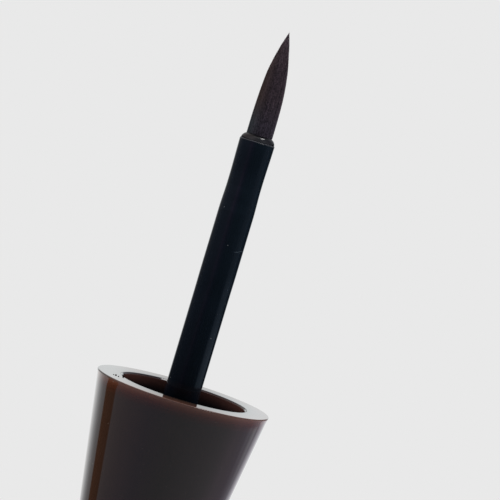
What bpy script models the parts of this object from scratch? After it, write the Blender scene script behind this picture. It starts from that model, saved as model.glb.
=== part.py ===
"""Screw cap of a liquid eyeliner: flared outer shell, threaded liner, wand and brush.

The cap stands on its closed end, as it does on a dressing table while the brush
is in use. +Z runs along the axis, from the closed end to the tip of the brush.
All sizes below are in millimetres, and the scene is in metres.
"""

import math

import bmesh
import bpy
from mathutils import Matrix, Vector

MM = 0.001

# Outer shell: a straight cone under the rim eases into a nearly parallel handle.
CAP_LENGTH = 50.0
RIM_RADIUS = 8.5
RIM_EDGE = 0.05
CONE_ANGLE = math.radians(8.86)
CONE_LENGTH = 14.5
EASE_LENGTH = 11.0
HANDLE_DRAFT = math.radians(1.0)
END_ROUND = 0.6

# Hollow of the shell, as depths below the rim. Each step is narrower than the last.
MOUTH_RADIUS = 6.1
MOUTH_CHAMFER = 0.14
LEDGE_DEPTH = 4.8
SKIRT_SOCKET_RADIUS = 5.6
SKIRT_SOCKET_DEPTH = 12.2
BOSS_SOCKET_RADIUS = 3.55
BOSS_SOCKET_DEPTH = 18.5
CORE_RADIUS_TOP = 3.0
CORE_RADIUS_END = 2.6
CORE_ROUND = 0.8
END_WALL = 4.0

# Clearances: between pieces pressed together, and round the bristles.
FIT = 0.05
HAIR_GAP = 0.04

# Threaded liner that is pressed into the shell.
LIP_HEIGHT = 0.75
LINER_BORE_RADIUS = 4.8
LINER_LEAD_IN = 0.35
DECK_DEPTH = 10.5
COLLAR_RECESS = 0.85
SOCKET_FLOOR = 0.8
BEAD_HEIGHT = 0.35
BEAD_DEPTH = 14.6
BEAD_STEP = 0.22

# Four keys on the liner's boss stop it from turning in the shell.
KEY_COUNT = 4
KEY_REACH = 4.45
KEY_WIDTH = 0.9
KEY_LENGTH = 3.6

# Seal washer, on the deck of the liner.
WASHER_RADIUS = 4.6
WASHER_THICKNESS = 1.0

# Wand: radii along its length, as heights above the rim.
ROOT_RADIUS = 1.70
COLLAR_RADIUS = 2.95
WAND_RADIUS = 1.68
WAIST_RADIUS = 1.60
WAIST_HEIGHT = 21.2
WAND_TOP = 24.75
WAND_END_EDGE = 0.03
WAND_BORE_RADIUS = 0.8
HOLDER_BORE_RADIUS = 1.39
HOLDER_BORE_DEPTH = 6.5

# Brush holder, pushed into the open end of the wand.
HEAD_HEIGHT = 0.5
HEAD_RADIUS = 1.665
LIP_RADIUS = 1.30
LIP_BORE_RADIUS = 1.235
HAIR_BORE_RADIUS = 1.05
FLARE_LENGTH = 0.8

# Tuft: strands on a lattice of triangles, with an ogive outline.
TUFT_LENGTH = 10.0
TUFT_RADIUS = 1.225
TUFT_POWER = 2.85
TUFT_SPREAD_AT_TIP = 0.40
SLICE_THICKNESS = 0.6
LATTICE_RINGS = 7
LATTICE_SECTORS = 7
FULL_LEVEL_RING = 5
STRAND_FILL = (0.80, 0.78, 0.72, 0.58)
LEVEL_HEIGHTS = (-FLARE_LENGTH, 0.0, 3.6, 6.6)

SMOOTH_ANGLE = math.radians(32)

COLOURS = {
    "shell_plastic": ("#3A2A26", 0.12),
    "liner_plastic": ("#1C1614", 0.45),
    "washer_foam": ("#8C8880", 0.75),
    "wand_plastic": ("#0F151B", 0.32),
    "holder_plastic": ("#141516", 0.25),
    "anchor_resin": ("#5A4A38", 0.50),
    "brush_hair": ("#2A262B", 0.80),
}


def clear_scene():
    for item in list(bpy.data.objects):
        bpy.data.objects.remove(item, do_unlink=True)
    for mesh in list(bpy.data.meshes):
        bpy.data.meshes.remove(mesh)


def linear_colour(text):
    values = []
    for start in (1, 3, 5):
        value = int(text[start:start + 2], 16) / 255
        if value <= 0.04045:
            value = value / 12.92
        else:
            value = ((value + 0.055) / 1.055) ** 2.4
        values.append(value)
    return (*values, 1.0)


def material(name):
    colour, roughness = COLOURS[name]
    made = bpy.data.materials.new(name)
    made.use_nodes = True
    shader = made.node_tree.nodes["Principled BSDF"]
    shader.inputs["Base Color"].default_value = linear_colour(colour)
    shader.inputs["Roughness"].default_value = roughness
    shader.inputs["Metallic"].default_value = 0.0
    made.diffuse_color = linear_colour(colour)
    return made


def add_object(name, shape, material_name, parent=None):
    mesh = bpy.data.meshes.new(name)
    shape.to_mesh(mesh)
    shape.free()
    if material_name:
        mesh.materials.append(material(material_name))
    made = bpy.data.objects.new(name, mesh)
    bpy.context.scene.collection.objects.link(made)
    made.parent = parent
    mesh.shade_smooth()
    mesh.set_sharp_from_angle(angle=SMOOTH_ANGLE)
    return made


def arc(centre, radius, start, end, steps):
    """Points on an arc, with both ends, for angles in degrees from +X."""
    points = []
    for step in range(steps + 1):
        angle = math.radians(start + (end - start) * step / steps)
        x = centre[0] + radius * math.cos(angle)
        z = centre[1] + radius * math.sin(angle)
        points.append((x, z))
    return points


def revolve(profile, segments, closed):
    """Turn a profile of (radius, height) round the axis into a closed body."""
    shape = bmesh.new()
    verts = [shape.verts.new((x * MM, 0.0, z * MM)) for x, z in profile]
    pairs = list(zip(verts, verts[1:]))
    if closed:
        pairs.append((verts[-1], verts[0]))
    edges = [shape.edges.new(pair) for pair in pairs]
    bmesh.ops.spin(
        shape,
        geom=verts + edges,
        cent=(0.0, 0.0, 0.0),
        axis=(0.0, 0.0, 1.0),
        angle=math.tau,
        steps=segments,
    )
    bmesh.ops.remove_doubles(shape, verts=shape.verts, dist=0.0005 * MM)
    bmesh.ops.recalc_face_normals(shape, faces=shape.faces)
    return shape


def keys(name, inner, outer, width, low, high):
    """Radial bars round the axis, used to cut the slots and to add the keys."""
    shape = bmesh.new()
    for index in range(KEY_COUNT):
        turn = Matrix.Rotation(math.tau * index / KEY_COUNT, 4, "Z")
        centre = Vector(((inner + outer) / 2, 0.0, (low + high) / 2)) * MM
        size = Vector((outer - inner, width, high - low)) * MM
        bmesh.ops.create_cube(
            shape,
            size=1.0,
            matrix=turn @ Matrix.LocRotScale(centre, None, size),
        )
    made = add_object(name, shape, None)
    made.hide_render = True
    made.display_type = "WIRE"
    return made


def combine(target, tool, operation):
    change = target.modifiers.new(tool.name, "BOOLEAN")
    change.operation = operation
    change.solver = "EXACT"
    change.object = tool


def handle_radius(depth):
    """Outer radius of the shell at a depth below the rim."""
    cone_end = RIM_RADIUS - CONE_LENGTH * math.tan(CONE_ANGLE)
    if depth <= CONE_LENGTH:
        return RIM_RADIUS - depth * math.tan(CONE_ANGLE)
    bend = EASE_LENGTH / (math.sin(CONE_ANGLE) - math.sin(HANDLE_DRAFT))
    along = min(depth - CONE_LENGTH, EASE_LENGTH)
    turned = math.asin(math.sin(CONE_ANGLE) - along / bend)
    radius = cone_end - bend * (math.cos(turned) - math.cos(CONE_ANGLE))
    beyond = depth - CONE_LENGTH - EASE_LENGTH
    if beyond > 0:
        radius -= beyond * math.tan(HANDLE_DRAFT)
    return radius


def build_shell(parent):
    end_radius = handle_radius(CAP_LENGTH - END_ROUND)
    core_end = END_WALL
    outside = []
    for step in range(3):
        depth = RIM_EDGE + (CONE_LENGTH - RIM_EDGE) * step / 2
        outside.append((handle_radius(depth), CAP_LENGTH - depth))
    for step in range(1, 9):
        depth = CONE_LENGTH + EASE_LENGTH * step / 8
        outside.append((handle_radius(depth), CAP_LENGTH - depth))
    outside += arc((end_radius - END_ROUND, END_ROUND), END_ROUND, 0, -90, 4)
    outside.append((0.0, 0.0))

    core_corner = (CORE_RADIUS_END - CORE_ROUND, core_end + CORE_ROUND)
    inside = [(0.0, core_end)]
    inside += arc(core_corner, CORE_ROUND, -90, 0, 3)
    inside += [
        (CORE_RADIUS_TOP, CAP_LENGTH - BOSS_SOCKET_DEPTH),
        (BOSS_SOCKET_RADIUS, CAP_LENGTH - BOSS_SOCKET_DEPTH),
        (BOSS_SOCKET_RADIUS, CAP_LENGTH - SKIRT_SOCKET_DEPTH),
        (SKIRT_SOCKET_RADIUS, CAP_LENGTH - SKIRT_SOCKET_DEPTH),
        (SKIRT_SOCKET_RADIUS, CAP_LENGTH - LEDGE_DEPTH),
        (MOUTH_RADIUS, CAP_LENGTH - LEDGE_DEPTH),
        (MOUTH_RADIUS, CAP_LENGTH - MOUTH_CHAMFER),
        (MOUTH_RADIUS + MOUTH_CHAMFER, CAP_LENGTH),
        (RIM_RADIUS - RIM_EDGE, CAP_LENGTH),
    ]
    shell = add_object(
        "outer_shell", revolve(inside + outside, 80, False), "shell_plastic", parent
    )
    slots = keys(
        "key_slots",
        BOSS_SOCKET_RADIUS - 0.6,
        KEY_REACH + FIT,
        KEY_WIDTH + 2 * FIT,
        CAP_LENGTH - SKIRT_SOCKET_DEPTH - KEY_LENGTH - FIT,
        CAP_LENGTH - SKIRT_SOCKET_DEPTH + 0.4,
    )
    combine(shell, slots, "DIFFERENCE")


def build_liner(parent):
    top = CAP_LENGTH - LEDGE_DEPTH + FIT + LIP_HEIGHT
    deck = CAP_LENGTH - DECK_DEPTH
    skirt_end = CAP_LENGTH - SKIRT_SOCKET_DEPTH + FIT
    boss_end = CAP_LENGTH - BOSS_SOCKET_DEPTH + FIT
    bead = CAP_LENGTH - BEAD_DEPTH
    root = ROOT_RADIUS + FIT
    lip = MOUTH_RADIUS - FIT
    skirt = SKIRT_SOCKET_RADIUS - FIT
    boss = BOSS_SOCKET_RADIUS - FIT
    profile = [
        (lip, top - 0.12),
        (lip, top - LIP_HEIGHT),
        (skirt, top - LIP_HEIGHT),
        (skirt, skirt_end + 0.2),
        (skirt - 0.2, skirt_end),
        (boss, skirt_end),
        (boss, boss_end + 0.3),
        (boss - 0.3, boss_end),
        (0.0, boss_end),
    ]
    inside = [
        (0.0, boss_end + SOCKET_FLOOR),
        (root, boss_end + SOCKET_FLOOR),
        (root, bead - BEAD_HEIGHT),
        (root + BEAD_STEP, bead),
        (root, bead + BEAD_HEIGHT),
        (root, deck - COLLAR_RECESS),
        (COLLAR_RADIUS + FIT, deck - COLLAR_RECESS),
        (COLLAR_RADIUS + FIT, deck),
        (LINER_BORE_RADIUS, deck),
        (LINER_BORE_RADIUS, top - LINER_LEAD_IN),
        (LINER_BORE_RADIUS + LINER_LEAD_IN, top),
        (lip - 0.12, top),
    ]
    liner = add_object(
        "inner_cap", revolve(inside + profile, 60, False), "liner_plastic", parent
    )
    ribs = keys(
        "liner_keys",
        boss - 0.7,
        KEY_REACH,
        KEY_WIDTH,
        skirt_end - KEY_LENGTH,
        skirt_end + 0.3,
    )
    combine(liner, ribs, "UNION")


def build_washer(parent):
    low = CAP_LENGTH - DECK_DEPTH + FIT
    inner = WAND_RADIUS + FIT
    profile = [
        (inner, low + WASHER_THICKNESS),
        (WASHER_RADIUS, low + WASHER_THICKNESS),
        (WASHER_RADIUS, low),
        (inner, low),
    ]
    add_object("seal_washer", revolve(profile, 48, True), "washer_foam", parent)


def build_wand(parent):
    root_end = CAP_LENGTH - BOSS_SOCKET_DEPTH + 2 * FIT + SOCKET_FLOOR
    collar_low = CAP_LENGTH - DECK_DEPTH - COLLAR_RECESS + FIT
    collar_top = CAP_LENGTH - DECK_DEPTH
    bead = CAP_LENGTH - BEAD_DEPTH
    rim = CAP_LENGTH
    end = rim + WAND_TOP
    step = end - HOLDER_BORE_DEPTH
    waist = rim + WAIST_HEIGHT
    swell = WAND_RADIUS + 0.012
    profile = [
        (WAND_RADIUS - WAND_END_EDGE, end),
        (WAND_RADIUS, end - WAND_END_EDGE),
        (WAND_RADIUS, waist + 2.3),
        ((WAND_RADIUS + WAIST_RADIUS) / 2, waist + 1.1),
        (WAIST_RADIUS, waist + 0.3),
        (WAIST_RADIUS + 0.01, waist - 0.8),
        ((swell + WAIST_RADIUS) / 2, waist - 1.8),
        (swell, waist - 3.0),
        (swell, rim + 11.0),
        (WAND_RADIUS, rim + 9.5),
        (WAND_RADIUS, collar_top),
        (COLLAR_RADIUS - 0.1, collar_top),
        (COLLAR_RADIUS, collar_top - 0.1),
        (COLLAR_RADIUS, collar_low),
        (ROOT_RADIUS, collar_low),
        (ROOT_RADIUS, bead + BEAD_HEIGHT),
        (ROOT_RADIUS + BEAD_STEP, bead),
        (ROOT_RADIUS, bead - BEAD_HEIGHT),
        (ROOT_RADIUS, root_end + 0.4),
        (ROOT_RADIUS - 0.25, root_end),
        (WAND_BORE_RADIUS, root_end),
        (WAND_BORE_RADIUS, step),
        (HOLDER_BORE_RADIUS, step),
        (HOLDER_BORE_RADIUS, end),
    ]
    add_object("wand", revolve(profile, 40, True), "wand_plastic", parent)


def build_holder(parent):
    seat = CAP_LENGTH + WAND_TOP + FIT / 2
    top = CAP_LENGTH + WAND_TOP + HEAD_HEIGHT
    low = seat - HOLDER_BORE_DEPTH + FIT
    shank = HOLDER_BORE_RADIUS - FIT
    round_top = HEAD_RADIUS - LIP_RADIUS
    head = arc((LIP_RADIUS, top - round_top), round_top, 90, 0, 5)
    profile = head + [
        (HEAD_RADIUS, seat),
        (shank, seat),
        (shank, low + 0.2),
        (shank - 0.1, low),
        (HAIR_BORE_RADIUS, low),
        (HAIR_BORE_RADIUS, top - FLARE_LENGTH),
        (LIP_BORE_RADIUS, top),
    ]
    add_object("brush_holder", revolve(profile, 36, True), "holder_plastic", parent)


def build_anchor(parent):
    lip = CAP_LENGTH + WAND_TOP + HEAD_HEIGHT
    low = CAP_LENGTH + WAND_TOP - HOLDER_BORE_DEPTH + 2 * FIT
    high = lip - FLARE_LENGTH - SLICE_THICKNESS - FIT
    radius = HAIR_BORE_RADIUS - HAIR_GAP
    profile = [(0.0, high), (radius, high), (radius, low), (0.0, low)]
    add_object("tuft_anchor", revolve(profile, 28, False), "anchor_resin", parent)


def tuft_outline(height):
    """Radius of the whole tuft at a height above the holder's lip."""
    part = min(max(height / TUFT_LENGTH, 0.0), 1.0)
    return TUFT_RADIUS * (1.0 - part ** TUFT_POWER)


def tuft_spread(height):
    """Radius that the lattice of strands is scaled to at a height above the lip."""
    last = LEVEL_HEIGHTS[-1]
    if height <= -FLARE_LENGTH:
        return HAIR_BORE_RADIUS - HAIR_GAP
    if height <= 0.0:
        return LIP_BORE_RADIUS - HAIR_GAP
    if height <= last:
        return tuft_outline(height)
    part = (height - last) / (TUFT_LENGTH - last)
    return tuft_outline(last) + (TUFT_SPREAD_AT_TIP - tuft_outline(last)) * part


def strand_end(share):
    """Height at which a strand, at its share of the spread, meets the outline."""
    low = LEVEL_HEIGHTS[-1]
    high = TUFT_LENGTH
    for _ in range(24):
        middle = (low + high) / 2
        if share * tuft_spread(middle) < tuft_outline(middle):
            low = middle
        else:
            high = middle
    return low


def lattice():
    """Points of the disc, ring by ring, and its triangles with their ring."""
    points = {(0, 0): Vector((0.0, 0.0))}
    for ring in range(1, LATTICE_RINGS + 1):
        count = LATTICE_SECTORS * ring
        for index in range(count):
            angle = math.tau * index / count
            place = Vector((math.cos(angle), math.sin(angle)))
            points[(ring, index)] = place * ring / LATTICE_RINGS
    triangles = []
    for ring in range(1, LATTICE_RINGS + 1):
        outer_count = LATTICE_SECTORS * ring
        inner_count = max(LATTICE_SECTORS * (ring - 1), 1)
        for sector in range(LATTICE_SECTORS):
            for step in range(ring):
                outer = sector * ring + step
                inner = sector * (ring - 1) + step
                here = (ring - 1, inner % inner_count)
                first = (ring, outer)
                second = (ring, (outer + 1) % outer_count)
                triangles.append(((here, first, second), ring))
                if step < ring - 1:
                    beyond = (ring - 1, (inner + 1) % inner_count)
                    triangles.append(((here, second, beyond), ring))
    return points, triangles


def build_tuft(parent):
    """Fine strands that grow from the triangles of one disc-shaped slice."""
    lip = CAP_LENGTH + WAND_TOP + HEAD_HEIGHT
    slice_top = lip + LEVEL_HEIGHTS[0]
    points, triangles = lattice()
    shape = bmesh.new()

    def put(place, height):
        return shape.verts.new((place.x * MM, place.y * MM, (lip + height) * MM))

    base_radius = tuft_spread(LEVEL_HEIGHTS[0])
    top = {}
    for key, place in points.items():
        top[key] = put(place * base_radius, slice_top - lip)
    for corners, ring in triangles:
        centre = sum((points[key] for key in corners), Vector((0.0, 0.0))) / 3
        levels = list(range(len(LEVEL_HEIGHTS)))
        if ring <= FULL_LEVEL_RING:
            levels.remove(2)
        below = [top[key] for key in corners]
        for level in levels:
            height = LEVEL_HEIGHTS[level]
            spread = tuft_spread(height)
            loop = []
            for key in corners:
                place = centre + (points[key] - centre) * STRAND_FILL[level]
                loop.append(put(place * spread, height))
            for side in range(3):
                after = (side + 1) % 3
                shape.faces.new((below[side], below[after], loop[after], loop[side]))
            below = loop
        end = strand_end(centre.length)
        tip = put(centre * tuft_spread(end), end)
        for side in range(3):
            shape.faces.new((below[side], below[(side + 1) % 3], tip))

    count = LATTICE_SECTORS * LATTICE_RINGS
    under = []
    for index in range(count):
        place = points[(LATTICE_RINGS, index)]
        under.append(put(place * base_radius, slice_top - lip - SLICE_THICKNESS))
    for index in range(count):
        after = (index + 1) % count
        above = top[(LATTICE_RINGS, index)]
        above_after = top[(LATTICE_RINGS, after)]
        shape.faces.new((under[index], under[after], above_after, above))
    shape.faces.new(list(reversed(under)))
    bmesh.ops.recalc_face_normals(shape, faces=shape.faces)
    add_object("bristle_tuft", shape, "brush_hair", parent)


def main():
    clear_scene()
    axis = bpy.data.objects.new("cap_axis", None)
    bpy.context.scene.collection.objects.link(axis)
    build_shell(axis)
    build_liner(axis)
    build_washer(axis)
    build_wand(axis)
    build_holder(axis)
    build_anchor(axis)
    build_tuft(axis)


main()
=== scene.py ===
"""Looks of the eyeliner cap: tinted shell, threaded liner, moulded wand and hair brush.

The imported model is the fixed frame. Sizes here are in millimetres and become metres
only when a mesh or a node gets them. Left and right are the camera's: it looks along +Y.
"""

import math

import bmesh
import bpy
from mathutils import Matrix, Vector, noise


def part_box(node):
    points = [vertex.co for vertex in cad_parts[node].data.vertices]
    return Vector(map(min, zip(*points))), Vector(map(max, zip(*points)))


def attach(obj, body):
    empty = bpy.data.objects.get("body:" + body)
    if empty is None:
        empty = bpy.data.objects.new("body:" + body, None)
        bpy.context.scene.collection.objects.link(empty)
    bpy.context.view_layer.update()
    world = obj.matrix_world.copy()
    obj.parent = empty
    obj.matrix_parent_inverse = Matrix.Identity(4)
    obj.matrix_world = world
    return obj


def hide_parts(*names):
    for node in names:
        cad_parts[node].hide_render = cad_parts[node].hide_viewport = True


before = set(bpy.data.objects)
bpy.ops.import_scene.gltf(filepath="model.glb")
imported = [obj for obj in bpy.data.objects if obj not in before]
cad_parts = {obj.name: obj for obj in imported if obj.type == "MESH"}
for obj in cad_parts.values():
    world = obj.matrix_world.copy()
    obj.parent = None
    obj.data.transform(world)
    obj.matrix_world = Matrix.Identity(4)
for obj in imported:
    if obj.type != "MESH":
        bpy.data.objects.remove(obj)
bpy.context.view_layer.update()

MM = 0.001

# Where the pieces lie, read from the CAD nodes so that they stay in step with them.
RIM_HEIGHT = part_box("outer_shell")[1].z / MM
WAND_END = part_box("wand")[1].z / MM
LIP_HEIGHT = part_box("brush_holder")[1].z / MM
LINER_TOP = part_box("inner_cap")[1].z / MM
WASHER_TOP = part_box("seal_washer")[1].z / MM

# Shell, outside. Sizes that the photograph shows lie within 0.07 mm of the CAD's.
RIM_RADIUS = 8.5
RIM_EDGE = 0.09
RIM_FLARE = 0.066
FLARE_DEPTH = 0.9
CONE_ANGLE = math.radians(8.5)
CONE_LENGTH = 14.5
EASE_LENGTH = 11.0
HANDLE_DRAFT = math.radians(1.0)
END_ROUND = 0.6

# Shell, inside, with depths below the rim. The core of the mouth stood a little aside.
MOUTH_RADIUS = 6.06
MOUTH_CHAMFER = 0.14
MOUTH_SHIFT = (0.065, -0.03)
LEDGE_DEPTH = 4.8
SKIRT_SOCKET_RADIUS = 5.6
SKIRT_SOCKET_DEPTH = 12.2
BOSS_SOCKET_RADIUS = 3.55
BOSS_SOCKET_DEPTH = 18.5
CORE_RADIUS = 3.0
CORE_END_RADIUS = 2.6
CORE_ROUND = 0.8
END_WALL = 4.0

# How far the rim's painted brown glow reaches down the wall, and across the flat face.
GLOW_DEPTH = 1.7
GLOW_BREADTH = 2.2

# Dried liner on the rim's left: x, y, width and height of each fleck.
RIM_FLECKS = [
    (-6.74, -2.6, 0.12, 0.05),
    (-6.53, -2.5, 0.18, 0.08),
    (-6.25, -2.9, 0.13, 0.06),
    (-5.91, 1.11, 0.12, 0.05),
    (-5.84, -1.95, 0.18, 0.14),
]

# Gap between pieces that are pressed together.
FIT = 0.05

# Threaded liner, with the depth of its deck below the rim.
DECK_DEPTH = 10.5
LINER_LIP = 0.75
LINER_BORE = 4.8
COLLAR_RECESS = 0.85
SOCKET_FLOOR = 0.8

# Neck thread, cut right-handed into the liner's bore.
THREAD_PITCH = 1.6
THREAD_DEPTH = 0.5
THREAD_WIDTH = 0.75

# Wand. In the photograph its end is a little higher than the CAD's, and it leans left.
WAND_TOP = WAND_END + 0.03
WAND_RADIUS = 1.72
WAND_END_RADIUS = 1.712
WAND_LEAN = 0.105
COLLAR_RADIUS = 2.95
ROOT_RADIUS = 1.70
WAND_BORE = 0.8
HOLDER_BORE = 1.39
HOLDER_BORE_DEPTH = 6.5
WAND_SEAM_ANGLE = math.radians(-27.0)

# Scratch on the wand: where it starts and ends, as an angle and a height above the rim.
SCRATCH_START = (math.radians(153), 14.22)
SCRATCH_END = (math.radians(113), 14.46)

# Brush.
NOSE_TOP = LIP_HEIGHT + 0.08
NOSE_ROUND = 0.64
NOSE_SHOULDER = 1.65
HAIR_BORE = 1.05
HAIR_ROOT_DEPTH = 0.8
HAIR_COUNT = 1500
HAIR_RADIUS = 0.03
ROOT_TUFT_RADIUS = 1.0
TUFT_RADIUS = 1.27
TUFT_LENGTH = 10.2
TUFT_POWER = 3.0

# Hairs end lower towards the tuft's edge, by these shares of its length.
EDGE_HAIR_DROP = 0.29
EDGE_HAIR_UNEVEN = 0.035
GOLDEN_ANGLE = 2.399963

# Camera, fitted to the edges of the rim, wand and cone in the photograph.
CAMERA_DISTANCE = 246.22
CAMERA_ELEVATION = math.radians(7.098)
CAMERA_PAN = math.radians(0.5088)
CAMERA_TILT = math.radians(3.4274)
CAMERA_ROLL = math.radians(16.668)
CAMERA_LENS = 186.377

# Tone of the paper backdrop.
BACKDROP = "#E9E9E9"


def srgb(text):
    """An sRGB hex colour as the linear values that a shader takes."""
    values = []
    for start in (1, 3, 5):
        value = int(text[start:start + 2], 16) / 255
        if value <= 0.04045:
            value = value / 12.92
        else:
            value = ((value + 0.055) / 1.055) ** 2.4
        values.append(value)
    return (*values, 1.0)


def feed(tree, node, inputs):
    """Set or link a node's inputs.

    A node given as a value stands for its result, the first output that is in use.
    """
    for name, value in inputs.items():
        socket = node.inputs[name]
        if isinstance(value, bpy.types.Node):
            value = next(output for output in value.outputs if output.enabled)
        if isinstance(value, bpy.types.NodeSocket):
            tree.links.new(value, socket)
        else:
            socket.default_value = value


def add(tree, kind, inputs=None, **settings):
    """Add a node, set its options, then set or link its inputs."""
    node = tree.nodes.new(kind)
    for name, value in settings.items():
        setattr(node, name, value)
    feed(tree, node, inputs or {})
    return node


def new_material(name):
    """A material, its node tree and its shader."""
    made = bpy.data.materials.new(name)
    made.use_nodes = True
    tree = made.node_tree
    return made, tree, tree.nodes["Principled BSDF"]


def mottled(tree, size, detail, first, second):
    """Clouds of a size in millimetres, and a colour that wavers with them."""
    place = add(tree, "ShaderNodeTexCoord").outputs["Object"]
    clouds = add(
        tree, "ShaderNodeTexNoise", {"Vector": place, "Scale": 1 / (size * MM), "Detail": detail}
    ).outputs["Fac"]
    colour = add(
        tree, "ShaderNodeMix", {0: clouds, 6: srgb(first), 7: srgb(second)}, data_type="RGBA"
    )
    return clouds, colour


def specks(tree, place, spacing, edge, core):
    """Specks of dust, one to each cell of a spacing. Edge and core are shares of the cell."""
    cell = add(
        tree,
        "ShaderNodeTexVoronoi",
        {"Vector": place, "Scale": 1 / (spacing * MM), "Randomness": 1.0},
        feature="F1",
    )
    return add(
        tree,
        "ShaderNodeMapRange",
        {"Value": cell.outputs["Distance"], "From Min": edge, "From Max": core},
    )


# Materials


def painted_rim_glow(tree, axes, radius, body):
    """Painted glow, as if light entering at the rim came back out: brown at its edge, then red,
    then none.
    """
    # How far the painted glow has come down the wall from the rim's outer edge.
    path = add(
        tree,
        "ShaderNodeMapRange",
        {
            "Value": axes["Z"],
            "From Min": RIM_HEIGHT * MM,
            "From Max": (RIM_HEIGHT - GLOW_DEPTH) * MM,
        },
    )
    glow = add(tree, "ShaderNodeValToRGB", {0: path})
    fading = (
        (0.0, "#5E4A42"),
        (0.09, "#694236"),
        (0.22, "#572F23"),
        (0.38, "#451F16"),
        (0.57, "#341813"),
        (0.82, "#281815"),
    )
    stops = glow.color_ramp.elements
    while len(stops) < len(fading):
        stops.new(0.5)
    for stop, (depth, colour) in zip(stops, fading):
        stop.position = depth
        stop.color = srgb(colour)
    spent = add(tree, "ShaderNodeMapRange", {"Value": path, "From Min": 0.7, "From Max": 1.0})
    wall = add(tree, "ShaderNodeMix", {0: spent, 6: glow, 7: body}, data_type="RGBA")
    # The painted glow covers the rim's flat face all across, weaker towards the mouth.
    inward = add(
        tree,
        "ShaderNodeMapRange",
        {
            "Value": radius,
            "From Min": (RIM_RADIUS - 0.05) * MM,
            "From Max": (RIM_RADIUS - GLOW_BREADTH) * MM,
        },
    )
    face = add(
        tree,
        "ShaderNodeMix",
        {0: inward, 6: srgb("#69463A"), 7: srgb("#3A2B23")},
        data_type="RGBA",
    )
    flat = add(
        tree,
        "ShaderNodeMapRange",
        {
            "Value": axes["Z"],
            "From Min": (RIM_HEIGHT - RIM_EDGE) * MM,
            "From Max": (RIM_HEIGHT - 0.1 * RIM_EDGE) * MM,
        },
    )
    rimmed = add(tree, "ShaderNodeMix", {0: flat, 6: wall, 7: face}, data_type="RGBA")
    # At its far left end the edge is painted grey instead: a painted highlight line.
    leftward = add(
        tree,
        "ShaderNodeMapRange",
        {"Value": axes["X"], "From Min": -5.2 * MM, "From Max": -7.2 * MM, "To Max": 0.8},
    )
    edge = add(tree, "ShaderNodeMapRange", {"Value": path, "From Min": 0.14, "From Max": 0.04})
    painted_grey_edge = add(tree, "ShaderNodeMath", {0: leftward, 1: edge}, operation="MULTIPLY")
    ended = add(
        tree, "ShaderNodeMix", {0: painted_grey_edge, 6: rimmed, 7: srgb("#4C4C4A")}, data_type="RGBA"
    )
    # None of the painted glow is left at the chamfer into the mouth, nor in the narrow handle.
    reached = add(
        tree,
        "ShaderNodeMapRange",
        {
            "Value": radius,
            "From Min": (MOUTH_RADIUS + MOUTH_CHAMFER) * MM,
            "From Max": (MOUTH_RADIUS + MOUTH_CHAMFER + 0.12) * MM,
        },
    )
    return add(tree, "ShaderNodeMix", {0: reached, 6: body, 7: ended}, data_type="RGBA")


def dust_on_shell(tree, place, axes, under):
    """Pale specks under 0.1 mm across: one to each 2 mm square on the left, faint elsewhere."""
    speck = specks(tree, place, spacing=0.7, edge=0.065, core=0.035)
    settled = add(
        tree,
        "ShaderNodeMapRange",
        {
            "Value": axes["X"],
            "From Min": -5.5 * MM,
            "From Max": -6.5 * MM,
            "To Min": 0.12,
            "To Max": 0.8,
        },
    )
    dust = add(tree, "ShaderNodeMath", {0: speck, 1: settled}, operation="MULTIPLY")
    return add(tree, "ShaderNodeMix", {0: dust, 6: under, 7: srgb("#B0A69E")}, data_type="RGBA")


def tinted_acrylic():
    """Injection-moulded acrylic (PMMA), tinted dark brown, under a clear UV-cured lacquer.

    It looks almost black where it is thick, and a painted glow makes its rim brown and red.
    The lacquer mirrors the room sharply, apart from a slight unevenness that moulding left.
    """
    made, tree, shader = new_material("acrylic_tinted_lacquered")
    place = add(tree, "ShaderNodeTexCoord").outputs["Object"]
    axes = add(tree, "ShaderNodeSeparateXYZ", {0: place}).outputs
    across = add(tree, "ShaderNodeCombineXYZ", {"X": axes["X"], "Y": axes["Y"]})
    radius = add(tree, "ShaderNodeVectorMath", {0: across}, operation="LENGTH")
    cloud = add(
        tree,
        "ShaderNodeTexNoise",
        {"Vector": place, "Scale": 1 / (6.0 * MM), "Detail": 3.0, "Roughness": 0.5},
    )
    body = add(
        tree,
        "ShaderNodeMix",
        {0: cloud.outputs["Fac"], 6: srgb("#221614"), 7: srgb("#291C19")},
        data_type="RGBA",
    )
    # Painted glow at the rim, brown and red.
    lit = painted_rim_glow(tree, axes, radius.outputs["Value"], body)
    dusty = dust_on_shell(tree, place, axes, lit)
    smear = add(
        tree,
        "ShaderNodeTexNoise",
        {"Vector": place, "Scale": 1 / (2.5 * MM), "Detail": 4.0, "Roughness": 0.6},
    )
    gloss = add(
        tree,
        "ShaderNodeMapRange",
        {"Value": smear.outputs["Fac"], "To Min": 0.03, "To Max": 0.08},
    )
    # The ripple of the moulding is 2.5 mm long and under a micron high.
    ripple = add(
        tree,
        "ShaderNodeBump",
        {"Strength": 0.03, "Distance": 0.02 * MM, "Height": smear.outputs["Fac"]},
    )
    feed(
        tree,
        shader,
        {
            "Base Color": dusty,
            "Roughness": gloss,
            "IOR": 1.49,
            "Coat Weight": 0.4,
            "Coat Roughness": 0.04,
            "Coat IOR": 1.5,
            "Normal": ripple,
        },
    )
    return made


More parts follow.
